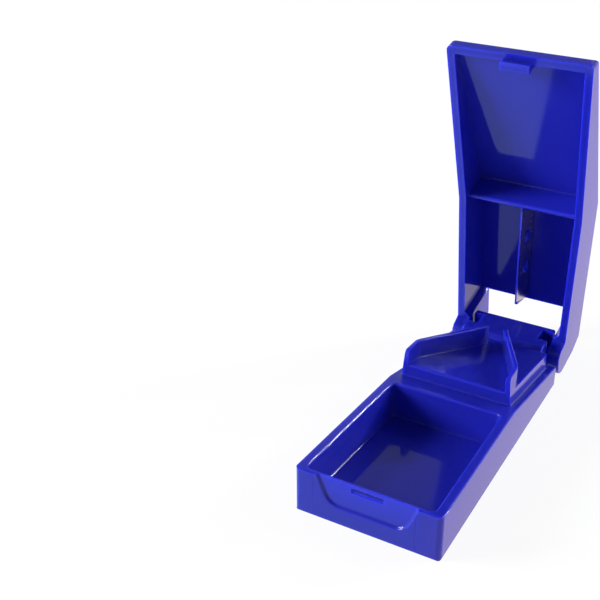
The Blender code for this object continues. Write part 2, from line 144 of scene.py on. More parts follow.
def linear(colour: str) -> tuple[float, float, float, float]:
    """Turn an sRGB hex colour into linear light.

    Args:
        colour: Six hex digits after a hash sign.

    Returns:
        Red, green, blue and a full alpha.
    """
    parts = [int(colour[place:place + 2], 16) / 255.0 for place in (1, 3, 5)]
    light = [part / SRGB_SLOPE if part <= SRGB_KNEE
             else ((part + SRGB_SHIFT) / (1.0 + SRGB_SHIFT)) ** SRGB_POWER for part in parts]
    return (light[0], light[1], light[2], 1.0)


def feed(node: bpy.types.Node, sockets: dict[Any, Any]) -> None:
    """Give a node's inputs what they need.

    Args:
        node: The node.
        sockets: Input names or numbers with a plain value, with an output socket to link, or with
            a node whose first output in use is linked.
    """
    for name, value in sockets.items():
        if isinstance(value, bpy.types.Node):
            value = next(socket for socket in value.outputs if socket.enabled)
        if isinstance(value, bpy.types.NodeSocket):
            node.id_data.links.new(value, node.inputs[name])
        else:
            node.inputs[name].default_value = value


def add_node(tree: bpy.types.NodeTree, kind: str, sockets: Optional[dict[Any, Any]] = None,
             **settings: Any) -> bpy.types.Node:
    """Add a node, set its properties and feed its inputs.

    Args:
        tree: The node tree that gets the node.
        kind: The shader node's type name, without its prefix.
        sockets: What feeds its inputs.
        settings: Properties of the node, such as its operation.

    Returns:
        The new node.
    """
    made = tree.nodes.new(f"ShaderNode{kind}")
    for name, value in settings.items():
        setattr(made, name, value)
    feed(made, sockets or {})
    return made


@dataclass(frozen=True)
class MouldedPolypropylene:
    """Glossy injection-moulded polypropylene, coloured right through.

    A polished mould leaves a mirror-like skin that is never quite flat: reflections waver over a
    few millimetres, the pigment drifts along the flow, and handling leaves faint rub marks.
    """

    name: str
    pigment: str = "#262DC4"
    deep_pigment: str = "#2229B8"
    # The next colour is a painted glow, brighter blue on edges and narrow walls.
    painted_edge_glow: str = "#2A34DE"
    roughness: float = 0.07
    roughness_spread: Flat = (0.8, 1.35)
    ior: float = 1.42
    haze: float = 0.2
    haze_roughness: float = 0.5
    glow: float = 1.0
    glow_depth: float = 1.4
    glow_colour: Place = (0.15, 0.2, 1.0)
    # How far in from an edge the painted glow reaches, and how it fades.
    painted_glow_depth: float = 0.9
    painted_glow_cover: Flat = (0.5, 1.0)
    edge_softness: float = 0.1
    depth_samples: int = 8
    softness_samples: int = 6
    waver_length: float = 7.0
    waver_height: float = 0.004
    waver_detail: float = 1.0
    peel_length: float = 0.7
    peel_height: float = 0.0004
    peel_detail: float = 2.0
    flow_length: float = 14.0
    flow_stretch: float = 0.35
    flow_detail: float = 3.0
    rub_length: float = 5.0
    rub_detail: float = 5.0
    rub_grain: float = 0.62
    rub_reach: Flat = (0.3, 0.75)

    def build(self) -> bpy.types.Material:
        """Make the material.

        Returns:
            The finished material.
        """
        made = bpy.data.materials.new(self.name)
        made.use_nodes = True
        tree = made.node_tree
        place = add_node(tree, "TexCoord").outputs["Object"]
        # Pigment drifts slowly, stretched along the way the plastic flowed.
        along = add_node(tree, "Mapping", {"Vector": place, "Scale": (1.0, self.flow_stretch, 1.0)})
        flow = add_node(tree, "TexNoise", {
            "Vector": along, "Scale": 1.0 / (self.flow_length * MM), "Detail": self.flow_detail})
        tint = add_node(tree, "Mix", {
            "Factor": flow, "A": linear(self.pigment), "B": linear(self.deep_pigment)},
            data_type="RGBA")
        # Edges and narrow walls get a brighter blue painted into the base colour: a painted glow,
        # standing for light that gets into the plastic and comes out there.
        depth = add_node(tree, "AmbientOcclusion", {"Distance": self.painted_glow_depth * MM},
                         inside=True, only_local=True, samples=self.depth_samples)
        painted_glow_mask = add_node(tree, "MapRange", {
            "Value": depth.outputs["AO"], "From Min": self.painted_glow_cover[0],
            "From Max": self.painted_glow_cover[1], "To Min": 1.0, "To Max": 0.0})
        colour_with_painted_glow = add_node(tree, "Mix", {
            "Factor": painted_glow_mask, "A": tint, "B": linear(self.painted_edge_glow)}, data_type="RGBA")
        # Rub marks lift the roughness in soft patches.
        rub = add_node(tree, "TexNoise", {
            "Vector": place, "Scale": 1.0 / (self.rub_length * MM), "Detail": self.rub_detail,
            "Roughness": self.rub_grain})
        gloss = add_node(tree, "MapRange", {
            "Value": rub, "From Min": self.rub_reach[0], "From Max": self.rub_reach[1],
            "To Min": self.roughness * self.roughness_spread[0],
            "To Max": self.roughness * self.roughness_spread[1]})
        # Every edge of a moulding is softened by the tool maker's smallest cutter. Long waves and a
        # fine peel then ripple the skin.
        skin = add_node(tree, "Bevel", {"Radius": self.edge_softness * MM},
                        samples=self.softness_samples)
        for length, height, detail in (
                (self.waver_length, self.waver_height, self.waver_detail),
                (self.peel_length, self.peel_height, self.peel_detail)):
            wave = add_node(tree, "TexNoise", {
                "Vector": place, "Scale": 1.0 / (length * MM), "Detail": detail})
            skin = add_node(tree, "Bump", {
                "Strength": 1.0, "Distance": height * MM, "Height": wave, "Normal": skin})
        # Crystals just under the skin spread part of the gloss wide, which the coat stands for.
        # Blue light goes some way into the plastic, so a wall lit from behind glows.
        feed(tree.nodes["Principled BSDF"], {
            "Base Color": colour_with_painted_glow, "Roughness": gloss, "IOR": self.ior, "Normal": skin,
            "Coat Weight": self.haze, "Coat Roughness": self.haze_roughness,
            "Subsurface Weight": self.glow, "Subsurface Scale": self.glow_depth * MM,
            "Subsurface Radius": self.glow_colour})
        return made


@dataclass(frozen=True)
class GroundSteel:
    """Rolled stainless strip with a ground edge.

    Grinding leaves fine lines across the strip that stretch reflections along it. Real lines lie a
    few hundredths of a millimetre apart, so these are drawn coarser, for a picture to hold them.
    """

    name: str
    colour: str = "#C8CACF"
    dull_colour: str = "#A6A9AF"
    roughness: float = 0.24
    roughness_spread: Flat = (0.8, 1.3)
    grind_pitch: float = 0.12
    grind_length: float = 6.0
    grind_height: float = 0.0012
    grind_detail: float = 3.0

    def build(self) -> bpy.types.Material:
        """Make the material.

        Returns:
            The finished material.
        """
        made = bpy.data.materials.new(self.name)
        made.use_nodes = True
        tree = made.node_tree
        place = add_node(tree, "TexCoord").outputs["Object"]
        stretch = self.grind_pitch / self.grind_length
        lines = add_node(tree, "Mapping", {"Vector": place, "Scale": (1.0, stretch, 1.0)})
        grind = add_node(tree, "TexNoise", {
            "Vector": lines, "Scale": 1.0 / (self.grind_pitch * MM), "Detail": self.grind_detail})
        tint = add_node(tree, "Mix", {
            "Factor": grind, "A": linear(self.colour), "B": linear(self.dull_colour)},
            data_type="RGBA")
        gloss = add_node(tree, "MapRange", {
            "Value": grind, "To Min": self.roughness * self.roughness_spread[0],
            "To Max": self.roughness * self.roughness_spread[1]})
        bump = add_node(tree, "Bump", {
            "Strength": 1.0, "Distance": self.grind_height * MM, "Height": grind})
        feed(tree.nodes["Principled BSDF"], {
            "Base Color": tint, "Roughness": gloss, "Metallic": 1.0, "Normal": bump})
        return made


def arc(centre: Flat, radius: float, start: float, stop: float,
        steps: int = ARC_STEPS) -> list[Flat]:
    """Points on a circle from one angle to another.

    Args:
        centre: Middle of the circle.
        radius: Its radius.
        start: First angle in degrees.
        stop: Last angle in degrees.
        steps: How many chords stand for the curve.

    Returns:
        The points in order.
    """
    angles = [math.radians(start + (stop - start) * step / steps) for step in range(steps + 1)]
    return [(centre[0] + radius * math.cos(angle), centre[1] + radius * math.sin(angle))
            for angle in angles]


def bend(before: Flat, corner: Flat, after: Flat, radius: float, share: float) -> list[Flat]:
    """Points that round a corner between two straight runs.

    Args:
        before: A point on the run that leads in.
        corner: Where the runs would meet.
        after: A point on the run that leads out.
        radius: Radius of the bend.
        share: How much of the bend to give, from its start.

    Returns:
        The points in order.
    """
    first = math.atan2(before[1] - corner[1], before[0] - corner[0])
    second = math.atan2(after[1] - corner[1], after[0] - corner[0])
    half = math.remainder(second - first, 2.0 * math.pi) / 2.0
    reach = radius / abs(math.sin(half))
    centre = (corner[0] + reach * math.cos(first + half),
              corner[1] + reach * math.sin(first + half))
    start = math.degrees(first) - math.copysign(90.0, half)
    turn = math.copysign(180.0, half) - 2.0 * math.degrees(half)
    return arc(centre, radius, start, start - turn * share, BEND_STEPS)


def circle(centre: Flat, radius: float, place: float) -> Ring:
    """A ring around an axis along x, at an x position."""
    ring = arc(centre, radius, 0.0, 360.0, ROUND_STEPS)[:-1]
    return [(place, depth, height) for depth, height in ring]


def mirrored(points: Sequence[Flat]) -> list[Flat]:
    """The other half of an outline that is the same on both sides."""
    return [(-place, other) for place, other in reversed(points)]


def fillet(radius: float, turn: float = 90.0) -> list[Flat]:
    """Hollow round between a floor and a wall.

    Args:
        radius: Its radius.
        turn: How many degrees of it to give, from the floor up.

    Returns:
        Rise over the floor and distance from the wall for each step.
    """
    angles = [math.radians(turn * step / HALF_STEPS) for step in range(HALF_STEPS + 1)]
    return [(radius * (1.0 - math.cos(angle)), radius * (1.0 - math.sin(angle)))
            for angle in angles]


def lip(radius: float) -> list[Flat]:
    """Round between a wall and the face around its mouth.

    Args:
        radius: Its radius.

    Returns:
        Height from the mouth, below zero, and outward growth for each step.
    """
    angles = [math.radians(LIP_TURN * step / (HALF_STEPS - 1)) for step in range(HALF_STEPS)]
    return [(radius * math.sin(angle) - radius, radius * (1.0 - math.cos(angle)))
            for angle in angles]


def soft_wall(depth: float, width: float, outside: float, above: float) -> list[Flat]:
    """S-shaped wall of a shallow recess: hollow at its floor, round at its mouth.

    Args:
        depth: How deep the recess is.
        width: How far the wall reaches from floor to mouth.
        outside: How much of that lies outside the recess's drawn outline.
        above: How far the cutter stands out of the mouth.

    Returns:
        Height from the mouth and outward growth for each ring.
    """
    turn = 2.0 * math.atan2(depth, width)
    radius = width / math.sin(turn) / 2.0
    inner = outside - width
    rings = []
    for step in range(ARC_STEPS):
        angle = turn * step / ARC_STEPS
        rings.append((radius * (1.0 - math.cos(angle)) - depth, inner + radius * math.sin(angle)))
    for step in range(ARC_STEPS - 1):
        angle = turn * (1.0 - step / ARC_STEPS)
        rings.append((-radius * (1.0 - math.cos(angle)), outside - radius * math.sin(angle)))
    rings.append((above, outside + above))
    return rings


def grown(outline: Sequence[Flat], amount: float) -> list[Flat]:
    """Move every side of a closed outline outwards by one amount.

    Args:
        outline: Corners of the outline in order.
        amount: How far to move it; below zero it shrinks.

    Returns:
        As many corners as before.
    """
    pairs = list(zip(outline, [*outline[1:], outline[0]]))
    area = sum(here[0] * there[1] - there[0] * here[1] for here, there in pairs)
    turn = math.copysign(1.0, area)
    normals = []
    for here, there in pairs:
        length = math.hypot(there[0] - here[0], there[1] - here[1])
        normals.append((turn * (there[1] - here[1]) / length, turn * (here[0] - there[0]) / length))
    moved = []
    for index, corner in enumerate(outline):
        one, two = normals[index - 1], normals[index]
        share = amount / (1.0 + one[0] * two[0] + one[1] * two[1])
        moved.append((corner[0] + share * (one[0] + two[0]), corner[1] + share * (one[1] + two[1])))
    return moved


def rounded_plan(front: float, rear: float, inset: float, corners: Flat, grow: float) -> list[Flat]:
    """Plan outline that follows the tapered sides.

    Args:
        front: Depth of its front edge.
        rear: Depth of its rear edge.
        inset: Distance inside the object's sides.
        corners: Radius of the front and of the rear corners.
        grow: Even growth of the whole outline.

    Returns:
        The outline's points.
    """
    low, high = front - grow, rear + grow
    near, far = corners[0] + grow, corners[1] + grow
    front_half = PLAN.half_width(low) - inset + grow - near
    rear_half = PLAN.half_width(high) - inset + grow - far
    plan = arc((front_half, low + near), near, -90.0, 0.0)
    plan += arc((rear_half, high - far), far, 0.0, 90.0)
    plan += arc((-rear_half, high - far), far, 90.0, 180.0)
    plan += arc((-front_half, low + near), near, 180.0, 270.0)
    return plan


def lifted(plan: Sequence[Flat], level: Callable[[float], float], rise: float) -> Ring:
    """A plan outline lifted over a level that changes with depth."""
    return [(place, depth, level(depth) + rise) for place, depth in plan]


def across_taper(outline: Sequence[Flat], inset: float) -> list[Ring]:
    """Left and right copies of a side outline, set inside the tapered sides."""
    return [PLAN.along_side(outline, inset, side) for side in Side]


def across(outline: Sequence[Flat], left: float, right: float) -> list[Ring]:
    """Left and right copies of a side outline between two x positions."""
    return [[(place, depth, height) for depth, height in outline] for place in (left, right)]


def evenly(radius: float) -> Rounding:
    """The same radius for every edge of a solid."""
    return lambda first, second: radius


def loft(name: str, rings: Sequence[Ring], rounding: Optional[Rounding] = None) -> Item:
    """Join rings of points into one closed solid in millimetres.

    Args:
        name: Name of the solid.
        rings: Rings with the same number of points.
        rounding: Gives the radius of the edge between two points.

    Returns:
        The solid, with its edges rounded.
    """
    body = bmesh.new()
    weight = body.edges.layers.float.new("bevel_weight_edge")
    layers = [[body.verts.new(point) for point in ring] for ring in rings]
    for low, high in zip(layers, layers[1:]):
        for index in range(len(low)):
            after = (index + 1) % len(low)
            body.faces.new((low[index], low[after], high[after], high[index]))
    body.faces.new(layers[0])
    body.faces.new(layers[-1])
    bmesh.ops.recalc_face_normals(body, faces=body.faces)
    if body.calc_volume(signed=True) < 0.0:
        bmesh.ops.reverse_faces(body, faces=body.faces)
    largest = 0.0
    if rounding is not None:
        radii = {edge: rounding(edge.verts[0].co, edge.verts[1].co) for edge in body.edges}
        largest = max(radii.values())
        for edge, radius in radii.items():
            edge[weight] = radius / largest
    mesh = bpy.data.meshes.new(name)
    body.to_mesh(mesh)
    body.free()
    made = bpy.data.objects.new(name, mesh)
    bpy.context.scene.collection.objects.link(made)
    if largest > 0.0:
        soft = made.modifiers.new("rounded edges", "BEVEL")
        soft.limit_method = "WEIGHT"
        soft.width = largest
        soft.segments = EDGE_STEPS
    made.modifiers.new("flat facets", "TRIANGULATE")
    return made


def alter(body: Item, other: Item, change: Change) -> None:
    """Join a solid to a body or cut it away, and put the solid aside.

    Args:
        body: The solid that changes.
        other: The solid that is joined or cut.
        change: Which of the two.
    """
    step = body.modifiers.new(other.name, "BOOLEAN")
    step.operation = change.value
    step.solver = "EXACT"
    step.object = other
    body["helpers"] = [*body.get("helpers", []), other.name, *other.get("helpers", [])]


def finished(body: Item, name: str, place: Matrix, finish: bpy.types.Material) -> Item:
    """Turn a worked solid into a shown piece in the row's frame.

    Args:
        body: The solid with all its changes.
        name: Name of the piece.
        place: From object coordinates to the row's frame.
        finish: The piece's material.

    Returns:
        The piece.
    """
    bpy.context.view_layer.update()
    ready = body.evaluated_get(bpy.context.evaluated_depsgraph_get())
    mesh = bpy.data.meshes.new_from_object(ready)
    helpers = [body] + [bpy.data.objects[helper] for helper in body.get("helpers", [])]
    for helper in helpers:
        bpy.data.objects.remove(helper, do_unlink=True)
    mesh.name = name
    mesh.transform(place)
    mesh.shade_smooth()
    mesh.set_sharp_from_angle(angle=math.radians(SHARP_ANGLE))
    mesh.materials.clear()
    mesh.materials.append(finish)
    piece = bpy.data.objects.new(name, mesh)
    bpy.context.scene.collection.objects.link(piece)
    shading = piece.modifiers.new("flat faces stay flat", "WEIGHTED_NORMAL")
    shading.keep_sharp = True
    return piece


def hand_over(piece: Item, node: str, body: str, slot: str) -> None:
    """Let a piece stand for its solid and ride with its body.

    Args:
        piece: The shown piece.
        node: The solid that it replaces.
        body: The body that it moves with.
        slot: The record's material slot; not used.
    """
    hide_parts(node)
    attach(piece, body)
    log.info("%s: %d faces, rides on %s", piece.name, len(piece.data.polygons), body)


@dataclass
class BaseTray:
    """The lower moulding: storage pocket, finger recess, pill holder with its V, and hinge block.

    One radius, wall_soft, rounds the V walls at top and foot and the holder's upright edges, so
    that the rounded space between the walls and the rounded holder meet evenly.
    """

    finish: bpy.types.Material
    rim_radius: float = 0.35
    foot_radius: float = 0.35
    pocket_wall_side: float = 2.24
    pocket_wall_front: float = 1.35
    pocket_floor: float = 2.2
    pocket_rear: float = 39.8
    pocket_corner: float = 1.3
    pocket_draft: float = 0.02
    floor_fillet: float = 0.4
    lip_radius: float = 0.5
    recess_half: float = 12.0
    recess_low: float = 4.2
    recess_lean: float = 24.0
    recess_corner: float = 4.0
    recess_depth: float = 0.62
    recess_wall: float = 1.05
    recess_outside: float = 0.2
    slot_half: float = 3.65
    slot_low: float = 9.1
    slot_height: float = 1.0
    slot_mouth: float = 0.22
    witness_left: float = -12.4
    witness_right: float = 11.35
    witness_width: float = 0.16
    witness_depth: float = 0.09
    holder_inset: float = 2.35
    holder_foot_inset: float = 1.95
    holder_draft: float = 0.075
    holder_front: float = 44.8
    holder_rear: float = 73.7
    holder_rise: float = 3.35
    holder_fall: float = 0.168
    holder_wall: float = 1.15
    holder_rear_radius: float = 1.1
    wall_rise: float = 3.75
    wall_fall: float = 0.143
    wall_straight: float = 5.2
    wall_bend_radius: float = 8.0
    wall_inner_radius: float = 2.0
    wall_front_radius: float = 1.0
    wall_soft: float = 0.25
    sill_radius: float = 0.55
    gap_half: float = 1.85
    gap_before: float = 3.7
    bend_share: float = 0.75
    foot_fillet: float = 0.45
    foot_turn: float = 84.0
    foot_sink: float = 0.005
    block_half: float = 10.85
    block_behind: float = 4.26
    block_top: float = 10.2
    block_low: float = 0.5
    block_radius: float = 0.5
    lip_rise_run: float = 1.3
    notch_half: float = 2.45
    notch_length: float = 2.65
    shell: float = 1.7
    web: float = 1.4
    bay_radius: float = 0.6

    def __post_init__(self) -> None:
        """Work out the places that follow from the sizes."""
        self.wall_top = PLAN.ledge_height(self.holder_front) + self.holder_rise + self.wall_rise
        self.wall_bend = self.holder_front + self.wall_straight
        self.before_holder = self.holder_front - self.holder_wall
        self.gap_start = self.holder_rear - self.gap_before
        self.block_rear = PLAN.hinge_y + self.block_behind
        self.inside_holder = self.holder_rear - self.shell
        self.lip_y = self.holder_rear + self.lip_rise_run
        self.notch_inner = self.block_half - self.notch_length

    def seat_height(self, depth: float) -> float:
        """Height of the sloped floor that the pill lies on."""
        front = PLAN.ledge_height(self.holder_front) + self.holder_rise
        return front - self.holder_fall * (depth - self.holder_front)

    def wall_height(self, depth: float) -> float:
        """Height of the top of the V walls."""
        return self.wall_top - self.wall_fall * max(0.0, depth - self.wall_bend)

    def wall_inside(self, depth: float) -> float:
        """Half of the width between the V walls in front of their bend."""
        return PLAN.half_width(depth) - self.holder_inset - self.holder_wall

    def holder_half(self, depth: float, height: float) -> float:
        """Half width of the pill holder, whose sides lean in from the ledge up."""
        rise = height - PLAN.ledge_height(depth)
        return PLAN.half_width(depth) - self.holder_foot_inset - self.holder_draft * rise

    def outside(self) -> Item:
        """Make the outer block of the tray with its rounded edges.

        Returns:
            The block.
        """
        rear_top = PLAN.ledge_height(PLAN.length)
        outline = [(0.0, 0.0), (PLAN.length, 0.0), (PLAN.length, rear_top),
                   (PLAN.ledge_start, PLAN.height), (0.0, PLAN.height)]

        def rounding(first: Vector, second: Vector) -> float:
            """Tell how round an outside edge is.

            Args:
                first: One end of the edge.
                second: Its other end.

            Returns:
                The radius, zero at the step of the ledge.
            """
            if max(first.z, second.z) < SAME:
                return self.foot_radius
            if max(first.y, second.y, abs(first.x - second.x)) < SAME:
                return PLAN.corner_radius
            off_step = [abs(end.y - PLAN.ledge_start) for end in (first, second)]
            return 0.0 if max(off_step) < SAME else self.rim_radius

        return loft("tray_outside", across_taper(outline, 0.0), rounding)

    def seat_plan(self) -> list[Flat]:
        """Plan of the space between and behind the V walls.

        Returns:
            The outline's points, right half first.
        """
        bend_inner = self.wall_inside(self.wall_bend)
        run = (bend_inner - self.gap_half, self.gap_start - self.wall_bend)
        length = math.hypot(run[0], run[1])
        along = (run[0] / length, run[1] / length)
        end_outer = (self.gap_half + self.holder_wall * along[1],
                     self.gap_start + self.holder_wall * along[0])
        before = self.before_holder
        behind = self.holder_rear + self.holder_wall
        beyond = PLAN.width_front / 2.0
        gap = (self.gap_half, self.gap_start)
        right = [(self.wall_inside(self.holder_front), before)]
        right += bend(right[0], (bend_inner, self.wall_bend), gap, self.wall_inner_radius, 1.0)
        right += [gap, end_outer]
        side_start = PLAN.half_width(end_outer[1]) - self.holder_inset
        side_run = (side_start - end_outer[0]) / (along[0] / along[1] - PLAN.side_taper)
        corner = (end_outer[0] + side_run * along[0] / along[1], end_outer[1] - side_run)
        side_before = (PLAN.half_width(before) - self.holder_inset, before)
        radius = self.wall_bend_radius + self.holder_wall
        right += bend(end_outer, corner, side_before, radius, self.bend_share)
        last, end = right[-2], right[-1]
        side_depth = end[1] - (beyond - end[0]) * (last[1] - end[1]) / (end[0] - last[0])
        right += [(beyond, side_depth), (beyond, behind)]
        return right + mirrored(right)

    def holder(self) -> Item:
        """Make the raised pill holder with its two V walls.

        Returns:
            The holder, its walls rounded along the top and filleted at the foot.
        """
        radius = self.wall_front_radius
        outline = [(self.holder_front, self.pocket_floor), (self.holder_rear, self.pocket_floor),
                   (self.holder_rear, self.wall_height(self.holder_rear)),
                   (self.wall_bend, self.wall_top)]
        outline += arc((self.holder_front + radius, self.wall_top - radius), radius, 90.0, 180.0)

        def rounding(first: Vector, second: Vector) -> float:
            """Tell how round an edge of the block is.

            Args:
                first: One end of the edge.
                second: Its other end.

            Returns:
                The radius, zero across the block and inside the tray.
            """
            inside = max(first.z, second.z) < self.pocket_floor + SAME
            if inside or abs(first.x - second.x) > ACROSS:
                return 0.0
            rear = min(first.y, second.y) > self.holder_rear - SAME
            return self.holder_rear_radius if rear else self.wall_soft

        sides = [[(side.value * self.holder_half(depth, height), depth, height)
                  for depth, height in outline] for side in Side]
        block = loft("pill_holder", sides, rounding)
        plan = self.seat_plan()
        rings = [lifted(grown(plan, -gap), self.seat_height, rise)
                 for rise, gap in fillet(self.wall_soft)]
        rings += [lifted(grown(plan, grow), self.wall_height, rise)
                  for rise, grow in lip(self.wall_soft)]
        over = self.wall_top + self.holder_wall
        rings.append([(place, depth, over) for place, depth in grown(plan, self.wall_soft)])
        alter(block, loft("seat_space", rings), Change.CUT)
        alter(block, self.sill(), Change.CUT)
        return block

    def sill(self) -> Item:
        """Make the cutter that rounds the front edge of the pill floor.

        Returns:
            The cutter.
        """
        slope = math.degrees(math.atan(self.holder_fall))
        back = self.holder_front + self.sill_radius
        level = self.seat_height(back) - self.sill_radius / math.cos(math.radians(slope))
        outline = arc((back, level), self.sill_radius, 180.0, 90.0 - slope)
        above = self.seat_height(self.holder_front) + self.wall_rise / 2.0
        before = self.before_holder
        outline += [(outline[-1][0], above), (before, above), (before, level)]
        half = self.wall_inside(self.holder_front) - SAME
        return loft("sill_round", across(outline, -half, half))

    def holder_foot(self) -> Item:
        """Make the moulded fillet around the foot of the pill holder.

        Returns:
            The fillet as a low skirt.
        """
        radius = self.foot_fillet
        corners = (self.wall_soft, self.holder_rear_radius)
        levels = [(-radius, radius)]
        levels += [(rise - self.foot_sink, gap) for rise, gap in fillet(radius, self.foot_turn)]
        # The skirt's top lies inside the holder, as far in as its front corners stay round.
        levels.append((radius * 2.0, -self.wall_soft))
        rings = []
        for rise, grow in levels:
            plan = rounded_plan(self.holder_front, self.holder_rear, self.holder_foot_inset,
                                corners, grow)
            rings.append(lifted(plan, PLAN.ledge_height, rise))
        return loft("holder_foot", rings)

    def hinge_block(self) -> Item:
        """Make the block behind the holder with its two bearing notches.

        Returns:
            The block.
        """
        inside = self.inside_holder
        outline = [(inside, self.block_low), (self.block_rear, self.block_low),
                   (self.block_rear, self.block_top), (self.lip_y, self.block_top),
                   (self.holder_rear, self.seat_height(self.holder_rear) - PLAN.clearance),
                   (inside, self.seat_height(inside) - self.shell)]
        block = loft("hinge_block", across(outline, -self.block_half, self.block_half),
                     evenly(self.block_radius))
        above = self.block_top + self.block_radius
        notch = arc((PLAN.hinge_y, PLAN.hinge_z), self.notch_half, 180.0, 360.0, ARC_STEPS * 2)
        notch += [(PLAN.hinge_y + self.notch_half, above), (PLAN.hinge_y - self.notch_half, above)]
        outside = self.block_half + self.block_radius
        for side in Side:
            ends = sorted((side.value * self.notch_inner, side.value * outside))
            alter(block, loft(side.named("notch"), across(notch, *ends)), Change.CUT)
        return block

    def pocket(self) -> Item:
        """Make the space of the storage pocket, with draft, floor fillet and rounded mouth.

        Returns:
            The cutter.
        """
        depth = PLAN.height - self.pocket_floor
        corners = (self.pocket_corner, self.pocket_corner)
        levels = [(rise - depth, -gap - self.pocket_draft * (depth - rise))
                  for rise, gap in fillet(self.floor_fillet)]
        levels += lip(self.lip_radius) + [(self.rim_radius, self.lip_radius)]
        rings = []
        for rise, grow in levels:
            plan = rounded_plan(self.pocket_wall_front, self.pocket_rear, self.pocket_wall_side,
                                corners, grow)
            rings.append(lifted(plan, PLAN.ledge_height, rise))
        return loft("pocket_space", rings)

    def recess_outline(self, grow: float) -> list[Flat]:
        """Outline of the finger recess in the front face.

        Args:
            grow: Even growth of the outline.

        Returns:
            The outline's points as x and height.
        """
        lean = math.radians(self.recess_lean)
        low = self.recess_low - grow
        radius = self.recess_corner + grow
        top = PLAN.height + self.rim_radius + self.recess_corner
        foot = self.recess_half - (PLAN.height - self.recess_low) * math.tan(lean)
        centre = foot - self.recess_corner * math.tan((math.pi / 2.0 - lean) / 2.0)
        right = arc((centre, low + radius), radius, -90.0, -self.recess_lean)
        end_x, end_z = right[-1]
        right.append((end_x + (top - end_z) * math.tan(lean), top))
        return right + mirrored(right)

    def finger_recess(self) -> Item:
        """Make the shallow space of the finger recess.

        Returns:
            The cutter.
        """
        wall = soft_wall(self.recess_depth, self.recess_wall, self.recess_outside, self.rim_radius)
        rings = [[(place, -height, level) for place, level in self.recess_outline(grow)]
                 for height, grow in wall]
        return loft("finger_recess", rings)

    def latch_slot(self) -> Item:
        """Make the slot that the latch barb snaps into, with a softened mouth.

        Returns:
            The cutter.
        """
        top = self.slot_low + self.slot_height
        corners = [(-self.slot_half, self.slot_low), (self.slot_half, self.slot_low),
                   (self.slot_half, top), (-self.slot_half, top)]
        levels = [(self.pocket_wall_front + self.rim_radius, 0.0)]
        levels += [(self.recess_depth - rise, grow) for rise, grow in lip(self.slot_mouth)]
        levels.append((-self.slot_mouth, self.slot_mouth))
        rings = [[(place, depth, height) for place, height in grown(corners, grow)]
                 for depth, grow in levels]
        return loft("latch_slot", rings)

    def witness_lines(self) -> list[Item]:
        """Make the fine lines that the recess's mould insert left on the front face.

        Returns:
            The cutters.
        """
        made = []
        for side, place in ((Side.LEFT, self.witness_left), (Side.RIGHT, self.witness_right)):
            section = [(place - self.witness_width, -self.witness_depth),
                       (place, self.witness_depth),
                       (place + self.witness_width, -self.witness_depth)]
            rings = [[(point, depth, height) for point, depth in section]
                     for height in (self.foot_radius, PLAN.height - self.rim_radius)]
            made.append(loft(side.named("witness"), rings))
        return made

    def bays(self) -> list[Item]:
        """Make the cored spaces in the underside.

        Returns:
            Two cutters beside the web under the cutting line, and one in the hinge block.
        """
        front = self.pocket_rear + self.shell
        step = self.holder_front + self.shell
        rear = self.inside_holder - self.shell
        ceiling = PLAN.ledge_height(step) - self.shell
        outline = [(front, -self.shell), (rear, -self.shell),
                   (rear, self.seat_height(rear) - self.shell),
                   (step, self.seat_height(step) - self.shell), (step, ceiling), (front, ceiling)]
        made = []
        for side in Side:
            rings = [[(side.value * self.web / 2.0, depth, height) for depth, height in outline],
                     PLAN.along_side(outline, self.holder_inset + self.shell, side)]
            made.append(loft(side.named("bay"), rings, evenly(self.bay_radius)))
        back = self.block_rear - self.shell
        inside = self.inside_holder
        top = self.block_top - self.shell
        outline = [(inside, -self.shell), (back, -self.shell), (back, top), (self.lip_y, top),
                   (inside, self.seat_height(inside) - self.shell)]
        half = self.notch_inner - self.shell
        made.append(loft("block_bay", across(outline, -half, half), evenly(self.bay_radius)))
        return made

    def build(self) -> Item:
        """Make the whole moulding.

        Returns:
            The piece in the row's frame.
        """
        body = self.outside()
        for solid in (self.holder(), self.holder_foot(), self.hinge_block()):
            alter(body, solid, Change.JOIN)
        cutters = [self.pocket(), self.finger_recess(), self.latch_slot()]
        for cutter in cutters + self.witness_lines() + self.bays():
            alter(body, cutter, Change.CUT)
        return finished(body, "moulded_tray", PLAN.tray_place(), self.finish)

    def dress(self) -> None:
        """Build the tray and hand it over to its body."""
        hand_over(self.build(), "base_tray", "base", "base_plastic")


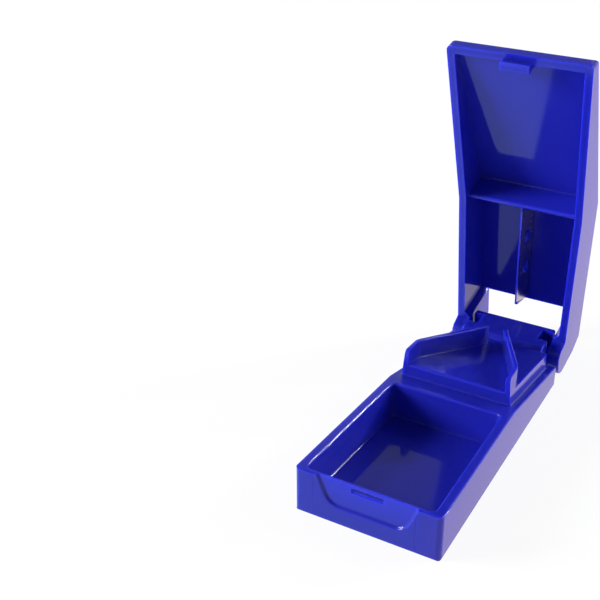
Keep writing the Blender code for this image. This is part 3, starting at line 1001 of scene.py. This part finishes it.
@dataclass
class Lid:
    """The upper moulding: wedge shell, bulkhead, blade rib, hinge cheeks, thumb recess and tab."""

    finish: bpy.types.Material
    tray: BaseTray
    rim_gap: float = 0.57
    rim_kink_gap: float = 1.05
    front_height: float = 3.2
    ridge_y: float = 46.98
    ridge_height: float = 13.27
    tail_before: float = 2.83
    tail_height: float = 6.77
    side_wall: float = 1.85
    front_wall: float = 2.0
    top_wall: float = 1.9
    edge_radius: float = 0.97
    rim_radius: float = 0.25
    cavity_fillet: float = 0.5
    lobe_rear: float = 4.66
    lobe_low: float = 3.06
    lobe_front: float = 4.1
    lobe_shoulder: float = 8.3
    lobe_rear_radius: float = 4.0
    lobe_front_radius: float = 2.3
    rim_end_before: float = 4.51
    rim_end_above: float = 1.41
    boss_inset: float = 3.35
    boss_ramp: float = 1.6
    boss_radius: float = 0.7
    boss_step: float = 0.06
    stub_end_gap: float = 0.35
    panel_before: float = 5.45
    panel_wall: float = 1.6
    thumb_front: float = 49.3
    thumb_strip: float = 2.2
    thumb_depth: float = 0.45
    thumb_corner: float = 2.5
    thumb_wall: float = 0.7
    bulkhead_before: float = 4.98
    bulkhead_wall: float = 1.2
    bulkhead_raise: float = 2.3
    tab_half: float = 3.5
    tab_wall: float = 1.35
    tab_radius: float = 0.18
    barb_reach: float = 0.7
    barb_height: float = 0.5
    rib_wall: float = 0.8
    rib_back: float = 2.7
    rib_radius: float = 0.15

    def __post_init__(self) -> None:
        """Work out the places that follow from the sizes."""
        self.rim_front = PLAN.height + self.rim_gap
        self.rim_kink = PLAN.height + self.rim_kink_gap
        self.front_top = self.rim_front + self.front_height
        self.ridge_z = self.rim_front + self.ridge_height
        self.tail_y = PLAN.hinge_y + self.tail_before
        self.tail_z = self.rim_front + self.tail_height
        self.front_slope = (self.ridge_z - self.front_top) / self.ridge_y
        self.rear_slope = (self.ridge_z - self.tail_z) / (self.tail_y - self.ridge_y)
        self.panel_end = PLAN.hinge_y - self.panel_before
        self.bulkhead_front = self.ridge_y - self.bulkhead_before
        self.bulkhead_rear = self.bulkhead_front + self.bulkhead_wall
        self.bulkhead_low = self.rim_front + self.bulkhead_raise
        self.lobe_back = PLAN.hinge_y + self.lobe_rear
        self.shoulder_z = PLAN.hinge_z + self.lobe_shoulder
        self.rim_end = (PLAN.hinge_y - self.rim_end_before, PLAN.hinge_z + self.rim_end_above)
        self.inner_ridge_z = self.panel_underside(self.ridge_y)

    def top(self, depth: float) -> float:
        """Height of the lid's outside, before its thumb recess."""
        return (self.front_top + self.front_slope * depth if depth < self.ridge_y
                else self.ridge_z - self.rear_slope * (depth - self.ridge_y))

    def ceiling(self, depth: float) -> float:
        """Height of the lid's inside in front of the blade chamber."""
        return self.top(depth) - self.top_wall

    def panel_underside(self, depth: float) -> float:
        """Height of the ceiling of the blade chamber."""
        return self.top(depth) - self.thumb_depth - self.panel_wall

    def lobe(self, step: float) -> list[Flat]:
        """Rounds at the rear and the nose of a hinge lobe.

        Args:
            step: How far inside the cheek's own outline they lie.

        Returns:
            The points from the rear forwards.
        """
        floor = PLAN.hinge_z - self.lobe_low
        nose = PLAN.hinge_y - self.lobe_front
        rear_round = (self.lobe_back - self.lobe_rear_radius, floor + self.lobe_rear_radius)
        nose_round = (nose + self.lobe_front_radius, floor + self.lobe_front_radius)
        return (arc(rear_round, self.lobe_rear_radius - step, 0.0, -90.0)
                + arc(nose_round, self.lobe_front_radius - step, -90.0, -180.0))

    def outside(self) -> Item:
        """Make the outer wedge with its hinge lobes.

        Returns:
            The wedge.
        """
        outline = [(0.0, self.rim_front), (0.0, self.front_top), (self.ridge_y, self.ridge_z),
                   (self.tail_y, self.tail_z), (self.lobe_back, self.shoulder_z)]
        outline += self.lobe(0.0) + [self.rim_end, (PLAN.ledge_start, self.rim_kink)]

        def rounding(first: Vector, second: Vector) -> float:
            """Tell how round an outside edge is.

            Args:
                first: One end of the edge.
                second: Its other end.

            Returns:
                The radius, zero across the ridge and the underside.
            """
            if max(first.y, second.y, abs(first.x - second.x)) < SAME:
                return PLAN.corner_radius
            top = min(end.z - self.top(end.y) for end in (first, second)) > -SAME
            if abs(first.x - second.x) > ACROSS:
                end = first.y < SAME or first.y > self.ridge_y + SAME
                return self.edge_radius if top and end else 0.0
            return self.edge_radius if top else self.rim_radius

        return loft("lid_outside", across_taper(outline, 0.0), rounding)

    def cavity(self) -> Item:
        """Make the space inside the lid: front compartment, blade chamber and rear window.

        Returns:
            The cutter, rounded where inner corners are filleted.
        """
        below = -self.lobe_rear
        over = self.ridge_z + self.front_height
        behind = self.lobe_back + self.front_wall
        half_wall = self.bulkhead_wall / 2.0
        edge = (self.bulkhead_front + half_wall, self.bulkhead_low + half_wall)
        outline = [(self.front_wall, below), (self.front_wall, self.ceiling(self.front_wall)),
                   (self.bulkhead_front, self.ceiling(self.bulkhead_front))]
        outline += arc(edge, half_wall, 180.0, 360.0)
        outline += [(self.bulkhead_rear, self.ceiling(self.bulkhead_rear)),
                    (self.ridge_y, self.inner_ridge_z),
                    (self.panel_end, self.panel_underside(self.panel_end)),
                    (self.panel_end, over), (behind, over), (behind, below)]

        def rounding(first: Vector, second: Vector) -> float:
            """Tell how round an inside corner is.

            Args:
                first: One end of the edge.
                second: Its other end.

            Returns:
                The radius, zero low down, at the open rear and across the ridge.
            """
            lowest = min(first.z, second.z) < self.bulkhead_low + half_wall
            open_end = max(first.y, second.y) > self.panel_end - SAME
            ridge = abs(first.x - second.x) > ACROSS and abs(first.y - self.ridge_y) < SAME
            return 0.0 if lowest or open_end or ridge else self.cavity_fillet

        return loft("lid_space", across_taper(outline, self.side_wall), rounding)

    def boss_outline(self, front: float) -> list[Flat]:
        """Side outline of a hinge boss, just inside its cheek's own outline.

        Args:
            front: Depth where the boss starts.

        Returns:
            The outline's points.
        """
        step = self.boss_step
        end_y, end_z = self.rim_end
        slope = (self.rim_kink - end_z) / (end_y - PLAN.ledge_start)
        rim = end_z + slope * (end_y - front) + step
        outline = [(front, rim), (front, self.top(front) - step),
                   (self.tail_y - step, self.tail_z - step),
                   (self.lobe_back - step, self.shoulder_z)]
        return outline + self.lobe(step) + [(end_y + step, end_z + step)]

    def boss(self, side: Side) -> Item:
        """Make the thickening inside a cheek, with a ramp in front.

        Args:
            side: Which cheek.

        Returns:
            The boss.
        """
        full = PLAN.hinge_y - self.rim_end_before
        embed = self.side_wall / 2.0
        ramp = self.boss_ramp / (self.boss_inset - self.side_wall)
        start = full - ramp * (self.boss_inset - embed)
        rings = [PLAN.along_side(self.boss_outline(front), inset, side)
                 for front, inset in ((start, embed), (full, self.boss_inset))]
        inner_edge = PLAN.half_width(full) - self.boss_inset

        def rounding(first: Vector, second: Vector) -> float:
            """Only the edge between ramp and boss is rounded."""
            inner = abs(first.x) + abs(second.x) < 2.0 * inner_edge + SAME
            return self.boss_radius if inner and max(first.y, second.y) < full + SAME else 0.0

        return loft(side.named("boss"), rings, rounding)

    def stub_pin(self, side: Side) -> Item:
        """Make the short pin that turns in the block's notch.

        Args:
            side: Which cheek.

        Returns:
            The pin with a chamfered end.
        """
        centre = (PLAN.hinge_y, PLAN.hinge_z)
        radius = self.tray.notch_half - PLAN.clearance
        end = self.tray.notch_inner + self.stub_end_gap
        root = PLAN.half_width(PLAN.hinge_y) - self.boss_inset + self.side_wall / 2.0
        rings = [circle(centre, radius, side.value * root),
                 circle(centre, radius, side.value * (end + PLAN.clearance)),
                 circle(centre, radius - PLAN.clearance, side.value * end)]
        return loft(side.named("stub_pin"), rings)

    def thumb_recess(self) -> Item:
        """Make the shallow space of the thumb recess in the rear slope.

        Returns:
            The cutter.
        """
        rear = self.lobe_back + self.thumb_corner
        slope = math.atan(self.rear_slope)
        corners = (self.thumb_corner, self.thumb_corner)
        rings = []
        for height, grow in soft_wall(self.thumb_depth, self.thumb_wall, self.tray.recess_outside,
                                      self.tray.rim_radius):
            plan = rounded_plan(self.thumb_front, rear, self.thumb_strip, corners, grow)
            back, rise = height * math.sin(slope), height * math.cos(slope)
            rings.append([(place, depth + back, self.top(depth) + rise) for place, depth in plan])
        return loft("thumb_recess", rings)

    def rib(self, blade: "Blade") -> Item:
        """Make the rib that carries the blade.

        Args:
            blade: The blade that stands on the rib's right.

        Returns:
            The rib.
        """
        front = self.bulkhead_front + self.bulkhead_wall / 2.0
        low_end = blade.rear - PLAN.clearance
        rear = self.panel_end - PLAN.clearance
        embed = self.panel_wall / 2.0
        outline = [(front, blade.edge_height(front) + self.rib_back),
                   (low_end, blade.edge_height(low_end) + self.rib_back),
                   (rear, self.panel_underside(rear) - self.rib_back / 2.0),
                   (rear, self.panel_underside(rear) + embed),
                   (self.ridge_y, self.inner_ridge_z + embed), (front, self.ceiling(front) + embed)]
        right = -blade.wall / 2.0 - PLAN.clearance
        return loft("blade_rib", across(outline, right - self.rib_wall, right),
                    evenly(self.rib_radius))

    def latch_tab(self) -> Item:
        """Make the tab behind the front wall, with the barb that enters the slot.

        Returns:
            The tab.
        """
        front = self.tray.pocket_wall_front + PLAN.clearance
        rear = front + self.tab_wall
        low = self.tray.slot_low + PLAN.clearance
        barb_top = low + self.barb_height
        barb_front = front - self.barb_reach
        top = self.top(front) - self.top_wall / 2.0
        outline = [(barb_front, barb_top), (barb_front, low + self.barb_height / 2.0), (front, low),
                   (rear, low), (rear, top), (front, top), (front, barb_top)]
        return loft("latch_tab", across(outline, -self.tab_half, self.tab_half),
                    evenly(self.tab_radius))

    def build(self, blade: "Blade") -> Item:
        """Make the whole moulding.

        Args:
            blade: The blade that the rib carries.

        Returns:
            The piece in the row's frame, turned open.
        """
        body = self.outside()
        alter(body, self.cavity(), Change.CUT)
        for side in Side:
            alter(body, self.boss(side), Change.JOIN)
            alter(body, self.stub_pin(side), Change.JOIN)
        alter(body, self.thumb_recess(), Change.CUT)
        alter(body, self.rib(blade), Change.JOIN)
        alter(body, self.latch_tab(), Change.JOIN)
        rib_right = -blade.wall / 2.0 - PLAN.clearance
        for rivet in blade.rivets:
            rivet.drill(body, blade, rib_right - self.rib_wall - PLAN.clearance,
                        rib_right + PLAN.clearance / 2.0)
        return finished(body, "moulded_lid", PLAN.lid_place(), self.finish)

    def dress(self, blade: "Blade") -> None:
        """Build the lid around its blade and hand it over to its body."""
        hand_over(self.build(blade), "lid_shell", "lid", "lid_plastic")


@dataclass
class Rivet:
    """A moulded rivet: domed head on the blade, shank through blade and rib, low tail behind it."""

    name: str
    depth: float
    finish: bpy.types.Material
    slot: str
    above_edge: float = 4.3
    shank: float = 0.85
    head: float = 1.6
    dome: float = 0.6
    tail_head: float = 1.3
    tail: float = 0.1
    seat: float = 0.02
    dome_turn: float = 86.0

    def centre(self, blade: "Blade") -> Flat:
        """Depth and height of the rivet's axis."""
        return (self.depth, blade.edge_height(self.depth) + self.above_edge)

    def drill(self, body: Item, blade: "Blade", left: float, right: float) -> None:
        """Cut the hole that the shank goes through.

        Args:
            body: The solid that gets the hole.
            blade: The blade under the head.
            left: The x position where the hole starts.
            right: The x position where it ends.
        """
        hole = [circle(self.centre(blade), self.shank + PLAN.clearance, end)
                for end in (left, right)]
        alter(body, loft(f"{self.name}_bore", hole), Change.CUT)

    def build(self, blade: "Blade", rib_wall: float) -> Item:
        """Make the rivet.

        Args:
            blade: The blade under the head.
            rib_wall: Thickness of the rib between blade and tail.

        Returns:
            The piece in the row's frame.
        """
        under_head = blade.wall / 2.0 + self.seat
        under_tail = -blade.wall / 2.0 - PLAN.clearance - rib_wall - self.seat
        steps = [(self.tail_head - self.tail, under_tail - self.tail),
                 (self.tail_head - self.tail / 4.0, under_tail - self.tail / 2.0),
                 (self.tail_head, under_tail), (self.shank, under_tail), (self.shank, under_head)]
        for step in range(ARC_STEPS):
            angle = math.radians(self.dome_turn * step / (ARC_STEPS - 1))
            steps.append((self.head * math.cos(angle), under_head + self.dome * math.sin(angle)))
        rings = [circle(self.centre(blade), radius, place) for radius, place in steps]
        body = loft(self.name, rings)
        return finished(body, f"moulded_{self.name}", PLAN.lid_place(), self.finish)

    def dress(self, blade: "Blade", rib_wall: float) -> None:
        """Build the rivet through blade and rib and hand it over to the lid's body."""
        hand_over(self.build(blade, rib_wall), self.name, "lid", self.slot)


@dataclass
class Blade:
    """The steel strip with its ground edge and slanted rear end."""

    finish: bpy.types.Material
    tray: BaseTray
    rivets: list[Rivet]
    wall: float = 0.5
    front_gap: float = 1.1
    rear: float = 73.4
    end_rise: float = 4.6
    end_lean: float = 35.0
    bevel_height: float = 1.1
    edge_land: float = 0.06

    def edge_height(self, depth: float) -> float:
        """Height of the cutting edge with the lid closed."""
        return self.tray.seat_height(depth) + PLAN.clearance

    def outline(self, lid: Lid, raised: float) -> list[Flat]:
        """Side outline of the strip.

        Args:
            lid: The lid whose ceiling the strip stands under.
            raised: How far its lower edge is raised.

        Returns:
            The outline's points.
        """
        front = lid.bulkhead_rear + self.front_gap
        tip = self.rear - self.end_rise * math.tan(math.radians(self.end_lean))
        ceiling = min(lid.inner_ridge_z, lid.ceiling(front))
        return [(front, self.edge_height(front) + raised), (tip, self.edge_height(tip) + raised),
                (self.rear, self.edge_height(tip) + self.end_rise + self.bevel_height),
                (self.rear, lid.panel_underside(self.rear) - PLAN.clearance),
                (lid.ridge_y, lid.inner_ridge_z - PLAN.clearance),
                (front, ceiling - PLAN.clearance)]

    def build(self, lid: Lid) -> Item:
        """Make the strip with its rivet holes.

        Args:
            lid: The lid that carries it.

        Returns:
            The piece in the row's frame.
        """
        half, land = self.wall / 2.0, self.edge_land / 2.0
        rings = []
        for place, raised in ((-half, self.bevel_height), (-land, 0.0), (land, 0.0),
                              (half, self.bevel_height)):
            rings.append([(place, depth, height) for depth, height in self.outline(lid, raised)])
        body = loft("blade_strip", rings)
        for rivet in self.rivets:
            rivet.drill(body, self, -half - PLAN.clearance / 2.0, half + PLAN.clearance)
        return finished(body, "ground_blade", PLAN.lid_place(), self.finish)

    def dress(self, lid: Lid) -> None:
        """Build the blade under its lid and hand it over to the lid's body."""
        hand_over(self.build(lid), "blade", "lid", "blade_steel")


@dataclass(frozen=True)
class Lamp:
    """A square softbox that faces the object, in metres and watts."""

    name: str
    place: Place
    size: float
    power: float
    target: Place = (0.0, 0.0, 0.02)

    def build(self) -> None:
        """Hang the lamp and aim it."""
        light = bpy.data.lights.new(self.name, "AREA")
        light.shape = "SQUARE"
        light.size = self.size
        light.energy = self.power
        lamp = bpy.data.objects.new(self.name, light)
        lamp.location = self.place
        aim = Vector(self.target) - Vector(self.place)
        lamp.rotation_euler = aim.to_track_quat("-Z", "Y").to_euler()
        bpy.context.scene.collection.objects.link(lamp)


@dataclass
class Studio:
    """White table, soft light, and the camera that stands where the photograph was taken.

    Places and sizes are in metres, the camera's turn is in degrees, and lens and sensor are in
    millimetres. Room levels are brightnesses, and the two bands say where the room changes from
    front to back and from the walls to overhead, as parts of a direction of length one.
    """

    table_size: float = 3.0
    table_colour: str = "#F4F4F4"
    table_glow: float = 0.9
    # Tints painted into the table's glow where the plastic mirrors it, standing for lamp light:
    # painted cool on the left, painted warm on the right and behind.
    painted_cool_light: str = "#DFF4FF"
    painted_warm_light: str = "#FFEEF8"
    painted_tint_reach: float = 0.005
    painted_tint_middle: float = 0.012
    painted_tint_behind: float = 0.03
    shown_albedo: str = "#6A6A6A"
    room_front: float = 0.24
    room_back: float = 0.46
    room_high: float = 0.02
    depth_band: Flat = (-0.5, 0.5)
    height_band: Flat = (0.5, 0.85)
    camera_place: Place = (0.0807993, -0.1991519, 0.1526021)
    camera_turn: Place = (61.6899, 0.3198, 30.5792)
    focal_length: float = 66.601
    sensor: float = 36.0
    nearest: float = 0.01
    lamps: tuple[Lamp, ...] = (
        Lamp("left_softbox", (-0.88, -0.51, 0.43), 0.45, 13.0),
        Lamp("rear_lamp", (0.67, 0.77, 0.43), 0.12, 4.6),
        Lamp("high_lamp", (0.75, 0.50, 0.65), 0.06, 1.0),
        Lamp("right_softbox", (1.03, 0.32, 0.23), 0.5, 2.1),
    )

    def table_finish(self) -> bpy.types.Material:
        """Make the table's material: white to the eye, painted light tint in reflections, faint
        shadow.

        Returns:
            The material.
        """
        made = bpy.data.materials.new("white_paper_table")
        made.use_nodes = True
        tree = made.node_tree
        tree.nodes.clear()
        path = add_node(tree, "LightPath").outputs
        seen = path["Is Camera Ray"]
        for ray in ("Is Glossy Ray", "Is Transmission Ray"):
            seen = add_node(tree, "Math", {0: seen, 1: path[ray]}, operation="MAXIMUM")
        lit = add_node(tree, "BsdfDiffuse", {"Color": linear(self.table_colour)})
        shade = add_node(tree, "BsdfDiffuse", {"Color": linear(self.shown_albedo)})
        # The paper is white to the camera. Where the plastic mirrors it, a tint stands for lamp
        # light:
        # painted cool on the left, and painted warm on the right and behind.
        place = add_node(tree, "TexCoord").outputs["Object"]
        split = add_node(tree, "SeparateXYZ", {"Vector": place}).outputs
        behind = add_node(tree, "Math", {0: split["Y"], 1: self.painted_tint_behind}, operation="SUBTRACT")
        aside = add_node(tree, "Math", {0: split["X"], 1: behind}, operation="MAXIMUM")
        right = add_node(tree, "MapRange", {
            "Value": aside, "From Min": self.painted_tint_middle - self.painted_tint_reach,
            "From Max": self.painted_tint_middle + self.painted_tint_reach})
        painted_reflection_tint = add_node(tree, "Mix", {
            "Factor": right, "A": linear(self.painted_cool_light), "B": linear(self.painted_warm_light)},
            data_type="RGBA")
        white_or_painted_tint = add_node(tree, "Mix", {
            "Factor": path["Is Camera Ray"], "A": painted_reflection_tint, "B": WHITE}, data_type="RGBA")
        glow = add_node(tree, "Emission", {"Color": white_or_painted_tint, "Strength": self.table_glow})
        shown = add_node(tree, "AddShader", {0: shade, 1: glow})
        both = add_node(tree, "MixShader", {0: seen, 1: lit, 2: shown})
        add_node(tree, "OutputMaterial", {"Surface": both})
        return made

    def table(self) -> None:
        """Lay the table under the object."""
        half = self.table_size / 2.0
        mesh = bpy.data.meshes.new("table")
        corners = [(-half, -half, 0.0), (half, -half, 0.0), (half, half, 0.0), (-half, half, 0.0)]
        mesh.from_pydata(corners, [], [(0, 1, 2, 3)])
        mesh.materials.append(self.table_finish())
        table = bpy.data.objects.new("table", mesh)
        bpy.context.scene.collection.objects.link(table)

    def room(self) -> None:
        """Surround the object with a room: white to the camera, else dark above, pale behind."""
        world = bpy.data.worlds.new("room")
        bpy.context.scene.world = world
        world.use_nodes = True
        tree = world.node_tree
        tree.nodes.clear()
        path = add_node(tree, "LightPath").outputs
        way = add_node(tree, "TexCoord").outputs["Generated"]
        split = add_node(tree, "SeparateXYZ", {"Vector": way}).outputs
        wall = add_node(tree, "MapRange", {
            "Value": split["Y"], "From Min": self.depth_band[0], "From Max": self.depth_band[1],
            "To Min": self.room_front, "To Max": self.room_back})
        level = add_node(tree, "MapRange", {
            "Value": split["Z"], "From Min": self.height_band[0], "From Max": self.height_band[1],
            "To Min": wall, "To Max": self.room_high},
            interpolation_type="SMOOTHSTEP")
        bright = add_node(tree, "Math", {0: path["Is Camera Ray"], 1: level}, operation="MAXIMUM")
        back = add_node(tree, "Background", {"Color": WHITE, "Strength": bright})
        add_node(tree, "OutputWorld", {"Surface": back})

    def camera(self) -> None:
        """Set up the camera."""
        lens = bpy.data.cameras.new("camera")
        lens.sensor_width = self.sensor
        lens.lens = self.focal_length
        lens.clip_start = self.nearest
        camera = bpy.data.objects.new("camera", lens)
        camera.location = self.camera_place
        camera.rotation_euler = Euler([math.radians(turn) for turn in self.camera_turn], "XYZ")
        bpy.context.scene.collection.objects.link(camera)
        bpy.context.scene.camera = camera

    def build(self) -> None:
        """Put the whole studio up."""
        self.table()
        self.room()
        self.camera()
        for lamp in self.lamps:
            lamp.build()
        bpy.context.scene.view_settings.view_transform = "Standard"
        log.info("studio: table, room, camera and %d lamps", len(self.lamps))


def main() -> None:
    """Build the studio, the finishes and the pieces in order."""
    logging.basicConfig(level=logging.INFO, format="%(name)s: %(message)s")
    Studio().build()
    tray_plastic = MouldedPolypropylene("moulded_blue_polypropylene_tray").build()
    lid_plastic = MouldedPolypropylene("moulded_blue_polypropylene_lid").build()
    rivet_plastic = MouldedPolypropylene("moulded_blue_polypropylene_rivet",
                                         roughness=RIVET_ROUGHNESS).build()
    steel = GroundSteel("ground_stainless_strip").build()
    tray = BaseTray(tray_plastic)
    rivets = [Rivet("front_rivet", FRONT_RIVET_DEPTH, rivet_plastic, "front_rivet_plastic"),
              Rivet("rear_rivet", REAR_RIVET_DEPTH, rivet_plastic, "rear_rivet_plastic")]
    lid = Lid(lid_plastic, tray)
    blade = Blade(steel, tray, rivets)
    tray.dress()
    lid.dress(blade)
    blade.dress(lid)
    for rivet in rivets:
        rivet.dress(blade, lid.rib_wall)


if __name__ == "__main__":
    main()
